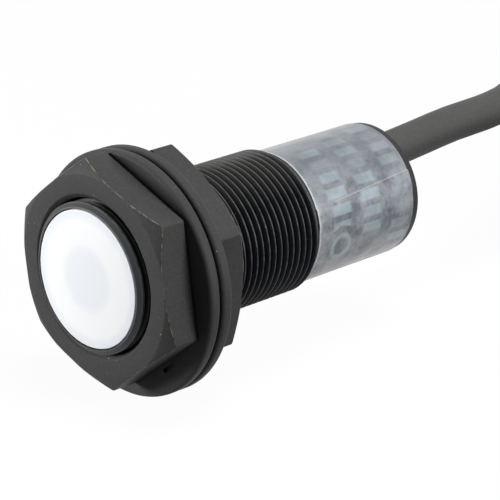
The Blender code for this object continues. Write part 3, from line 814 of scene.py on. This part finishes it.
cable = {
    "diameter": 4.8 * mm,
    "route": [                     # steps from the exit in the end cap's rear face, as in the part
        (0.0, 0.0, 0.0),
        (7.6, 0.0, 0.5),
        (15.0, 0.0, 1.1),
        (21.5, 0.0, 1.25),
    ],
    "foldRadius": 14.4 * mm,       # tightest bend of a strand
    "laneRadius": 3.4 * mm,        # half the width of the loop that the strands lie round
    "turns": 8.5,
    "run": 53.5 * mm,              # straight between the folds
    "nearFold": (99.5 * mm, -11.5 * mm),
    "lift": 0.9 * mm,              # the ties lie under the strands
    "tailDrop": 37.0 * mm,         # over which the far end comes down to the table
    "tail": 40.0 * mm,
    "pointsPerTurn": 56,
    "spacing": 3.0 * mm,           # of the points before and after the hank
}

hankStep = 2 * cable["laneRadius"] * math.asin(cable["diameter"] / 2 / cable["laneRadius"])
laneHeight = (cable["turns"] + 1) * hankStep / 2 - math.pi * cable["laneRadius"]
hankMeanR = cable["foldRadius"] + cable["laneRadius"]
hankCentreZ = surfaceZ + cable["lift"] + cable["diameter"] / 2 + cable["laneRadius"] + laneHeight / 2


def laneLoop(s):
    # outward offset and height of a strand, a distance s along the loop that the strands share
    c = cable["laneRadius"]
    arc = math.pi * c
    if s < arc:
        return c * math.cos(s / c), laneHeight / 2 + c * math.sin(s / c)
    s -= arc
    if s < laneHeight:
        return -c, laneHeight / 2 - s
    s -= laneHeight
    if s < arc:
        return -c * math.cos(s / c), -laneHeight / 2 - c * math.sin(s / c)
    return c, s - arc - laneHeight / 2


def hankPoint(turn):
    # a point of the hank, this many turns after the cable joins its outer run
    offset, height = laneLoop(turn * hankStep)
    r = hankMeanR + offset
    run, fold = cable["run"], math.pi * hankMeanR
    along = (turn % 1.0) * 2 * (run + fold)
    x0, y0 = cable["nearFold"]
    z = hankCentreZ + height
    if along < run:
        return Vector((x0 + along, y0 + r, z))
    along -= run
    if along < fold:
        angle = math.pi / 2 - along / hankMeanR
        return Vector((x0 + run + r * math.cos(angle), y0 + r * math.sin(angle), z))
    along -= fold
    if along < run:
        return Vector((x0 + run - along, y0 - r, z))
    angle = -math.pi / 2 - (along - run) / hankMeanR
    return Vector((x0 + r * math.cos(angle), y0 + r * math.sin(angle), z))


def eased(start, end, steps=5):
    # points from start to end that leave and arrive level along X
    points = []
    for i in range(1, steps + 1):
        part = i / steps
        side = start.lerp(end, (1 - math.cos(math.pi * part)) / 2)
        points.append(Vector((start.x + (end.x - start.x) * part, side.y, side.z)))
    return points


def cablePath():
    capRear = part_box("end_cap")[1].x
    clampLow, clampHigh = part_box("cable_clamp")
    axisZ = (clampLow.z + clampHigh.z) / 2
    route = [Vector((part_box("cable")[0].x, 0, axisZ))]
    route += [Vector((capRear, 0, axisZ)) + Vector(step) * mm for step in cable["route"]]
    route += eased(route[-1], hankPoint(0.0))
    count = round(cable["turns"] * cable["pointsPerTurn"])
    hank = [hankPoint(i / cable["pointsPerTurn"]) for i in range(1, count)]
    last = hankPoint(cable["turns"])
    nearX = cable["nearFold"][0]
    start = Vector((nearX, last.y, last.z))
    lying = surfaceZ + cable["diameter"] / 2
    end = Vector((nearX - cable["tail"], last.y, lying))
    down = Vector((nearX - cable["tailDrop"], last.y, lying))
    tail = [last, (last + start) / 2, start, *eased(start, down), end]
    leadOut = [Vector((p.x, p.y, max(p.z, lying))) for p in smoothCurve(tail, cable["spacing"])]
    return smoothCurve(route, cable["spacing"]) + hank + leadOut


def makeCable():
    points = cablePath()
    length = sum((q - p).length for p, q in zip(points, points[1:]))
    print("cable length", round(length, 4))
    piece = tubeCurve("sensorCable", points, cable["diameter"] / 2, 8)
    dress(piece, finishes["jacketPvc"])
    return piece, points, length


tie = {
    "width": 3.6 * mm,
    "wall": 0.6 * mm,
    "points": 64,
    "head": (4.6 * mm, 3.0 * mm, 4.4 * mm),
    "headRounding": 0.4 * mm,
    "headOut": 0.2,                # how far the head's middle stands off the band, as a share of its depth
}


def makeTie(name, side):
    # a flat band drawn round one run of the hank, with its ratchet head on the inner side
    length = 2 * laneHeight + 2 * math.pi * cable["laneRadius"]
    r = cable["diameter"] / 2
    x0 = cable["nearFold"][0] + cable["run"] / 2
    y0 = cable["nearFold"][1] + side * hankMeanR
    step = 0.1 * mm                # either way along the loop, for its slope
    bm = bmesh.new()
    rings = []
    for reach, x in ((r, -1), (r, 1), (r + tie["wall"], 1), (r + tie["wall"], -1)):
        ring = []
        for i in range(tie["points"]):
            s = length * i / tie["points"]
            offset, height = laneLoop(s)
            before, after = laneLoop((s - step) % length), laneLoop((s + step) % length)
            lean = Vector((after[1] - before[1], before[0] - after[0])).normalized()
            ring.append(bm.verts.new((x0 + x * tie["width"] / 2, y0 + side * (offset + lean.x * reach),
                                      hankCentreZ + height + lean.y * reach)))
        rings.append(ring)
    bridge(bm, rings + rings[:1])
    band = linkMesh(name, bm, 40)
    head = bmesh.new()
    bmesh.ops.create_cube(head, size=1.0)
    bmesh.ops.scale(head, vec=tie["head"], verts=head.verts)
    bmesh.ops.bevel(head, geom=head.edges[:], offset=tie["headRounding"], segments=3, affect="EDGES")
    out = cable["laneRadius"] + r + tie["wall"]
    out += tie["head"][1] * tie["headOut"]
    bmesh.ops.translate(head, vec=(x0, y0 - side * out, hankCentreZ), verts=head.verts)
    block = linkMesh(name + "Head", head, 40)
    for piece in (band, block):
        dress(piece, finishes["tieNylon"])
        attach(piece, "sensor")


leads = {
    "length": 15.0 * mm,
    "diameter": 1.2 * mm,
    "tip": 5.0 * mm,
    "tipDiameter": 0.7 * mm,
    "circle": 1.0 * mm,            # the cores' places in the jacket
    "clear": 0.3 * mm,             # off the jacket's end
    "spacing": 0.6 * mm,
    # angle in the jacket, place in the fan
    "cores": [("brown", 210, 0), ("black", 90, 1), ("blue", 330, 2)],
}


def makeLeads():
    # three insulated cores out of the jacket's far end, with tinned tips
    pieces = []
    tailLow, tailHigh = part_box("cable_tail")
    start = tailLow.x - leads["clear"]
    tailY = (tailLow.y + tailHigh.y) / 2
    lying = surfaceZ + cable["diameter"] / 2
    low = surfaceZ + leads["diameter"] / 2
    for colour, angle, place in leads["cores"]:
        y = tailY + leads["circle"] * math.cos(math.radians(angle))
        z = lying + leads["circle"] * math.sin(math.radians(angle))
        side = place * leads["diameter"]
        reach = leads["length"]
        route = [
            (start, y, z),
            (start - reach * 0.1, y + side * 0.1, z),
            (start - reach * 0.4, y + side, (z + low) / 2),
            (start - reach * 0.7, y + side * 1.6, low),
            (start - reach, y + side * 2.0, low),
        ]
        points = [Vector((p.x, p.y, max(p.z, low))) for p in smoothCurve(route, leads["spacing"])]
        keep = round(len(points) * (1 - leads["tip"] / reach))
        core = tubeCurve(f"core_{colour}", points[:keep], leads["diameter"] / 2, 4)
        dress(core, finishes[colour + "Pvc"])
        tip = tubeCurve(f"tip_{colour}", points[keep - 2:], leads["tipDiameter"] / 2, 3)
        dress(tip, finishes["tinnedCopper"])
        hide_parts(f"lead_{colour}")
        for piece in (core, tip):
            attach(piece, "sensor")
            pieces.append(piece)
    return pieces


cablePiece, cablePoints, cableLength = makeCable()
leadPieces = makeLeads()
makeTie("tieFar", 1)
makeTie("tieNear", -1)
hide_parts("cable", "cable_hank", "cable_tail")
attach(cablePiece, "sensor")
print("cable is folded into its hank")

# Barrel with its fine thread

def threadTree(material):
    # helical ridge: a rounded trapezoid swept along a spiral, tapered into the barrel at both ends
    tree = bpy.data.node_groups.new("threadRidge", "GeometryNodeTree")
    face = tree.interface
    for name, kind in (("Pitch", "Float"), ("Root Radius", "Float"), ("Crest Radius", "Float"),
                       ("Crest Width", "Float"), ("Root Width", "Float"), ("Sink", "Float"),
                       ("Rounding", "Float"), ("Start", "Float"), ("Turns", "Float"),
                       ("Runout", "Float"), ("Points", "Int")):
        face.new_socket(name, in_out="INPUT", socket_type="NodeSocket" + kind)
    face.new_socket("Geometry", in_out="OUTPUT", socket_type="NodeSocketGeometry")
    given = addNode(tree, "NodeGroupInput").outputs
    footR = addNode(tree, "ShaderNodeMath", {"operation": "SUBTRACT"}, None,
                    {0: given["Root Radius"], 1: given["Sink"]})
    height = addNode(tree, "ShaderNodeMath", {"operation": "SUBTRACT"}, None,
                     {0: given["Crest Radius"], 1: footR.outputs[0]})
    length = addNode(tree, "ShaderNodeMath", {"operation": "MULTIPLY"}, None,
                     {0: given["Pitch"], 1: given["Turns"]})
    spiral = addNode(tree, "GeometryNodeCurveSpiral", None, {"Reverse": True},     # a right-hand thread
                     {"Resolution": given["Points"], "Rotations": given["Turns"],
                      "Start Radius": footR.outputs[0], "End Radius": footR.outputs[0],
                      "Height": length.outputs[0]})
    upright = addNode(tree, "GeometryNodeSetCurveNormal", {"mode": "Z_UP"}, None,
                      {"Curve": spiral.outputs[0]})
    foot = addNode(tree, "ShaderNodeMath", {"operation": "SUBTRACT"}, None,
                   {0: given["Pitch"], 1: given["Root Width"]})
    outline = addNode(tree, "GeometryNodeCurvePrimitiveQuadrilateral", {"mode": "TRAPEZOID"},
                      {"Offset": 0.0},
                      {"Bottom Width": foot.outputs[0], "Top Width": given["Crest Width"],
                       "Height": height.outputs[0]})
    half = addNode(tree, "ShaderNodeMath", {"operation": "MULTIPLY"}, {1: 0.5}, {0: height.outputs[0]})
    lift = addNode(tree, "ShaderNodeCombineXYZ", None, None, {"X": half.outputs[0]})
    seated = addNode(tree, "GeometryNodeTransform", None, {"Rotation": (0, 0, -math.pi / 2)},
                     {"Geometry": outline.outputs[0], "Translation": lift.outputs[0]})
    soft = addNode(tree, "GeometryNodeFilletCurve", {"mode": "POLY"}, {"Count": 2},
                   {"Curve": seated.outputs[0], "Radius": given["Rounding"]})
    part = addNode(tree, "GeometryNodeSplineParameter").outputs["Factor"]
    offMiddle = addNode(tree, "ShaderNodeMath", {"operation": "SUBTRACT"}, {1: 0.5}, {0: part})
    away = addNode(tree, "ShaderNodeMath", {"operation": "ABSOLUTE"}, None, {0: offMiddle.outputs[0]})
    fromEnd = addNode(tree, "ShaderNodeMath", {"operation": "SUBTRACT"}, {0: 0.5}, {1: away.outputs[0]})
    turnsIn = addNode(tree, "ShaderNodeMath", {"operation": "MULTIPLY"}, None,
                      {0: fromEnd.outputs[0], 1: given["Turns"]})
    # at its very ends the ridge keeps a twentieth of its height, so that its faces stay sound
    runout = addNode(tree, "ShaderNodeMapRange", None, {"To Min": 0.05},
                     {"Value": turnsIn.outputs[0], "From Max": given["Runout"]})
    swept = addNode(tree, "GeometryNodeCurveToMesh", None, {"Fill Caps": True},
                    {"Curve": upright.outputs[0], "Profile Curve": soft.outputs[0],
                     "Scale": runout.outputs[0]})
    place = addNode(tree, "ShaderNodeCombineXYZ", None, None, {"X": given["Start"]})
    laid = addNode(tree, "GeometryNodeTransform", None, {"Rotation": (0, math.pi / 2, 0)},
                   {"Geometry": swept.outputs[0], "Translation": place.outputs[0]})
    whole = addNode(tree, "GeometryNodeRealizeInstances", None, None, {"Geometry": laid.outputs[0]})
    dressed = addNode(tree, "GeometryNodeSetMaterial", None, {"Material": material},
                      {"Geometry": whole.outputs[0]})
    addNode(tree, "NodeGroupOutput", None, None, {"Geometry": dressed.outputs[0]})
    return tree


def makeThread():
    mesh = bpy.data.meshes.new("threadRidge")
    piece = bpy.data.objects.new("threadRidge", mesh)
    bpy.context.scene.collection.objects.link(piece)
    tree = threadTree(finishes["threadPbt"])
    modifier = piece.modifiers.new("threadRidge", "NODES")
    modifier.node_group = tree
    turns = (barrel["threadEnd"] - barrel["threadStart"]) / barrel["pitch"]
    wanted = {
        "Pitch": barrel["pitch"], "Root Radius": barrel["rootR"], "Crest Radius": barrel["crestR"],
        "Crest Width": barrel["crestWidth"], "Root Width": barrel["rootWidth"], "Sink": barrel["ridgeSink"],
        "Rounding": barrel["ridgeRounding"], "Start": barrel["threadStart"], "Turns": turns,
        "Runout": barrel["runout"], "Points": barrel["pointsPerTurn"],
    }
    for item in tree.interface.items_tree:
        if item.item_type == "SOCKET" and item.in_out == "INPUT":
            modifier[item.identifier] = wanted[item.name]
    flattened(piece)
    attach(piece, "sensor")


def makeBarrel():
    # core of the barrel under the thread, its chamfered front lip and its smooth rear
    b = barrel
    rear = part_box("housing")[1].x
    soft = b["lipRounding"]
    profile = [
        (0.0, b["recessR"]),
        *roundedCorner((soft, b["crestR"] - b["chamfer"] - soft), soft, 180, 115, 3),
        (b["chamfer"], b["crestR"]),
        (b["chamfer"] + b["lipLand"], b["crestR"]),
        (b["chamfer"] + b["lipTaper"], b["rootR"]),
        (b["threadEnd"] + b["rearStep"][0], b["rootR"]),
        (b["threadEnd"] + b["rearStep"][1], b["rearR"]),
        (rear, b["rearR"]),
        (rear, b["boreR"]),
        (b["recessDepth"], b["boreR"]),
        (b["recessDepth"], b["recessR"]),
    ]
    piece = turnedPiece("barrelCore", profile)
    dress(piece, finishes["barrelPbt"])
    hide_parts("housing")
    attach(piece, "sensor")


def makeFace():
    # white window, flush with the barrel's lip, its rim barely broken
    low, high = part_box("sensing_face")
    r = high.z
    edge = window["edge"]
    profile = [
        (high.x, 0),
        (high.x, r),
        (low.x + edge, r),
        *roundedCorner((low.x + edge, r - edge), edge, 90, 180),
        (low.x, 0),
    ]
    piece = turnedPiece("faceWindow", profile)
    dress(piece, finishes["facePbt"])
    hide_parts("sensing_face")
    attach(piece, "sensor")


makeBarrel()
makeThread()
makeFace()
print("barrel and thread are made")

# Nuts and their washers

nut = {
    "flatR": 12.0 * mm,            # half of the 24 mm across flats
    "cornerRounding": 0.30 * mm,
    "faceR": 12.1 * mm,            # where the 30 degree chamfer meets the outer face
    "chamferSlope": math.tan(math.radians(30)),
    "edge": 0.09 * mm,
    "boreR": 9.3 * mm,
    "countersink": 0.5 * mm,
    "innerChamfer": 0.25 * mm,
    "rubbedStrip": 6,              # the narrow strip where the chamfer turns into the side
    "turns": {"front_nut": -8.3, "rear_nut": 5.8},
    "offsets": (0.0, 0.3, 0.6, 0.9, 1.3, 2.0, 3.5, 6.0, 9.5, 13.5, 18.0, 22.0, 26.0),
}


def hexRadius(offset):
    # distance from the axis to the hexagon's side, offset degrees from a corner
    rounding = nut["cornerRounding"]
    reach = (nut["flatR"] - rounding) / math.cos(math.radians(30))
    limit = math.degrees(math.atan2(rounding * 0.5, reach + rounding * math.cos(math.radians(30))))
    if abs(offset) <= limit:
        across = reach * math.sin(math.radians(offset))
        return reach * math.cos(math.radians(offset)) + math.sqrt(rounding ** 2 - across ** 2)
    return nut["flatR"] / math.cos(math.radians(30 - abs(offset)))


def nutSection(side, height):
    # one column of the nut's surface: bore, outer face, chamfer, hexagon side, inner face
    n = nut
    edge = n["edge"]
    faceR = min(n["faceR"], side - edge)
    chamferX = max(0.0, (side - n["faceR"]) * n["chamferSlope"])
    return [
        (n["countersink"] + 0.08 * mm, n["boreR"]),                     # softened edge of the countersink
        (n["countersink"] - 0.04 * mm, n["boreR"] + 0.03 * mm),
        (0.06 * mm, n["boreR"] + n["countersink"] - 0.06 * mm),         # and where it meets the face
        (0.0, n["boreR"] + n["countersink"] + 0.05 * mm),
        (0.0, faceR - edge),                                            # face to chamfer
        (edge * 0.25, faceR + edge * 0.35),
        (max(edge * 0.3, chamferX - edge * 0.5), max(faceR + edge * 0.4, side - edge * 0.7)),
        (chamferX + edge * 0.6, side),
        (height - edge, side),
        (height - edge * 0.3, side - edge * 0.3),
        (height, side - edge),
        (height, n["boreR"] + n["innerChamfer"]),
        (height - n["innerChamfer"], n["boreR"]),
    ]


def makeNut(name):
    low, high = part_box(name)
    height = high.x - low.x
    outerFace, direction = (low.x, 1) if name == "front_nut" else (high.x, -1)
    steps = [-30.0] + [-o for o in reversed(nut["offsets"][1:])] + list(nut["offsets"])
    bm = bmesh.new()
    columns = []
    for corner in range(6):
        for offset in steps:
            angle = math.radians(90 + nut["turns"][name] + 60 * corner + offset)
            column = []
            for x, r in nutSection(hexRadius(offset), height):
                place = (outerFace + direction * x, r * math.cos(angle), r * math.sin(angle))
                column.append(bm.verts.new(place))
            columns.append(column)
    rubbedAndLitColour = bm.faces.layers.float.new("wear")
    for i, strip in bridge(bm, columns + columns[:1]):
        strip[rubbedAndLitColour] = float(i == nut["rubbedStrip"])
    piece = linkMesh(name.replace("_n", "N"), bm, 22)
    dress(piece, finishes["nutAbs"])
    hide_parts(name)
    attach(piece, name)


washer = {
    "rounding": 0.5 * mm,
    "gate": (0.9 * mm, 2.1 * mm, 0.5 * mm),    # the mould's gate mark: depth, length and height
    "gateR": 12.75 * mm,
    "gateAngle": -127.7,
    "borePlay": 0.12 * mm,
    "boreChamfer": 0.15 * mm,
    # depth of the moulded step at the rim, and its start and end from there
    "step": (0.02 * mm, 0.1 * mm, 0.5 * mm),
}


def cutGate(piece, frontX):
    # a small pocket in the front face, beside the nut
    bm = bmesh.new()
    bmesh.ops.create_cube(bm, size=1.0)
    bmesh.ops.scale(bm, vec=washer["gate"], verts=bm.verts)
    cutter = linkMesh("gatePocket", bm)
    turn = Matrix.Rotation(math.radians(washer["gateAngle"] - 90), 4, "X")
    place = Matrix.Translation((frontX, 0, 0)) @ turn @ Matrix.Translation((0, 0, washer["gateR"]))
    cutter.data.transform(place)
    cutAway(piece, cutter, 40)


def makeWasher(name, nutName):
    # flat ring with a rounded rim and a shallow moulded step inside it
    low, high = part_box(name)
    w = washer
    thick = high.x - low.x
    r = (high.y - low.y) / 2
    play = Vector((0, (high.y + low.y) / 2, (high.z + low.z) / 2))
    bore = barrel["crestR"] + play.length + w["borePlay"]
    rim, chamfer = w["rounding"], w["boreChamfer"]
    depth, outside, inside = w["step"]
    profile = [
        (0.0, bore + chamfer),
        (0.0, r - rim - inside),
        (depth, r - rim - outside),
        *roundedCorner((rim, r - rim), rim, 168, 90, 6),
        *roundedCorner((thick - rim, r - rim), rim, 90, 12, 6),
        (thick - depth, r - rim - outside),
        (thick, r - rim - inside),
        (thick, bore + chamfer),
        (thick - chamfer, bore),
        (chamfer, bore),
    ]
    piece = turnedPiece(name.replace("_w", "W"), [(low.x + x, radius) for x, radius in profile], 192, 40)
    piece.data.transform(Matrix.Translation(play))
    if name == "front_washer":
        cutGate(piece, low.x)
    dress(piece, finishes["nutAbs"])
    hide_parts(name)
    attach(piece, nutName)


for side in ("front", "rear"):
    makeNut(side + "_nut")
    makeWasher(side + "_washer", side + "_nut")
print("nuts and washers are made")

# Film sleeve and end cap

def makeSleeve():
    # one strip of film wound once round the barrel, its end lapped over its start
    low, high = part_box("label_sleeve")
    inner = barrel["rearR"] + sleeve["bed"]
    wall = sleeve["wall"]
    bm = bmesh.new()
    total = 360.0 + sleeve["lap"]
    rows = []
    for i in range(sleeve["steps"] + 1):
        turned = total * i / sleeve["steps"]
        angle = math.radians(sleeve["seamEnd"] + sleeve["lap"] - turned)
        over = min(1.0, max(0.0, (turned - sleeve["liftFrom"]) / sleeve["liftOver"]))
        base = inner + over * (wall + sleeve["lapGap"])
        ring = []
        for r, x in ((base, low.x), (base + wall, low.x), (base + wall, high.x), (base, high.x)):
            turn = angle - sleeve["skew"] * (x - sleeve["middle"])
            ring.append(bm.verts.new((x, r * math.cos(turn), r * math.sin(turn))))
        rows.append(ring)
    bridge(bm, rows)
    bm.faces.new(rows[0])
    bm.faces.new(rows[-1])
    piece = linkMesh("filmSleeve", bm, 40)
    dress(piece, finishes["polyesterFilm"])
    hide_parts("label_sleeve")
    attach(piece, "sensor")


endCap = {
    "rim": 0.35 * mm,
    "flange": 1.1 * mm,            # thickness of the disc behind the barrel
    "edge": 0.08 * mm,             # bevel of the disc's front edge
    "plugPlay": 0.3 * mm,
    "holePlay": 0.12 * mm,
}


def makeEndCap():
    # moulded plug with a rounded rim and the cable's hole off its centre
    low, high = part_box("end_cap")
    capR = high.z
    plugR = barrel["boreR"] - endCap["plugPlay"]
    rim, edge = endCap["rim"], endCap["edge"]
    flange = high.x - endCap["flange"]
    profile = [
        (low.x, 0),
        (low.x, plugR),
        (flange, plugR),
        (flange, capR - edge),
        (flange + edge, capR),
        *roundedCorner((high.x - rim, capR - rim), rim, 90, 0, 5),
        (high.x, 0),
    ]
    cap = turnedPiece("endCap", profile)
    clampLow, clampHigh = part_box("cable_clamp")
    axisZ = (clampLow.z + clampHigh.z) / 2
    holeR = cable["diameter"] / 2 + endCap["holePlay"]
    hole = turnedPiece("endCapHole",
                       [(low.x - mm, 0), (low.x - mm, holeR), (high.x + mm, holeR), (high.x + mm, 0)], 64)
    hole.location = (0, 0, axisZ)
    cutAway(cap, hole, 28)
    dress(cap, finishes["capPbt"])
    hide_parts("end_cap")
    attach(cap, "sensor")


makeSleeve()
makeEndCap()
print("sleeve and end cap are made")

# Inner parts keep their CAD shapes and get their real finishes

innerFinishes = {
    "cable_clamp": "clampSteel",
    "ferrite_core": "sinteredFerrite",
    "coil_bobbin": "bobbinPa",
    "coil_winding": "enamelledCopper",
    "core_holder": "holderPa",
    "circuit_board": "solderMaskedFr4",
    "controller_chip": "chipEpoxy",
    "output_transistor": "chipEpoxy",
    "protection_diode": "chipEpoxy",
    "indicator_led": "amberEpoxy",
    "wire_brown": "brownPvc",
    "wire_black": "blackPvc",
    "wire_blue": "bluePvc",
}
for name, piece in nodes.items():
    if name.startswith("resistor"):
        dress(piece, finishes["chipEpoxy"])
    elif name.startswith("capacitor"):
        dress(piece, finishes["capacitorCeramic"])
    elif name in innerFinishes:
        dress(piece, finishes[innerFinishes[name]])
print("inner parts are dressed")

bpy.context.view_layer.update()
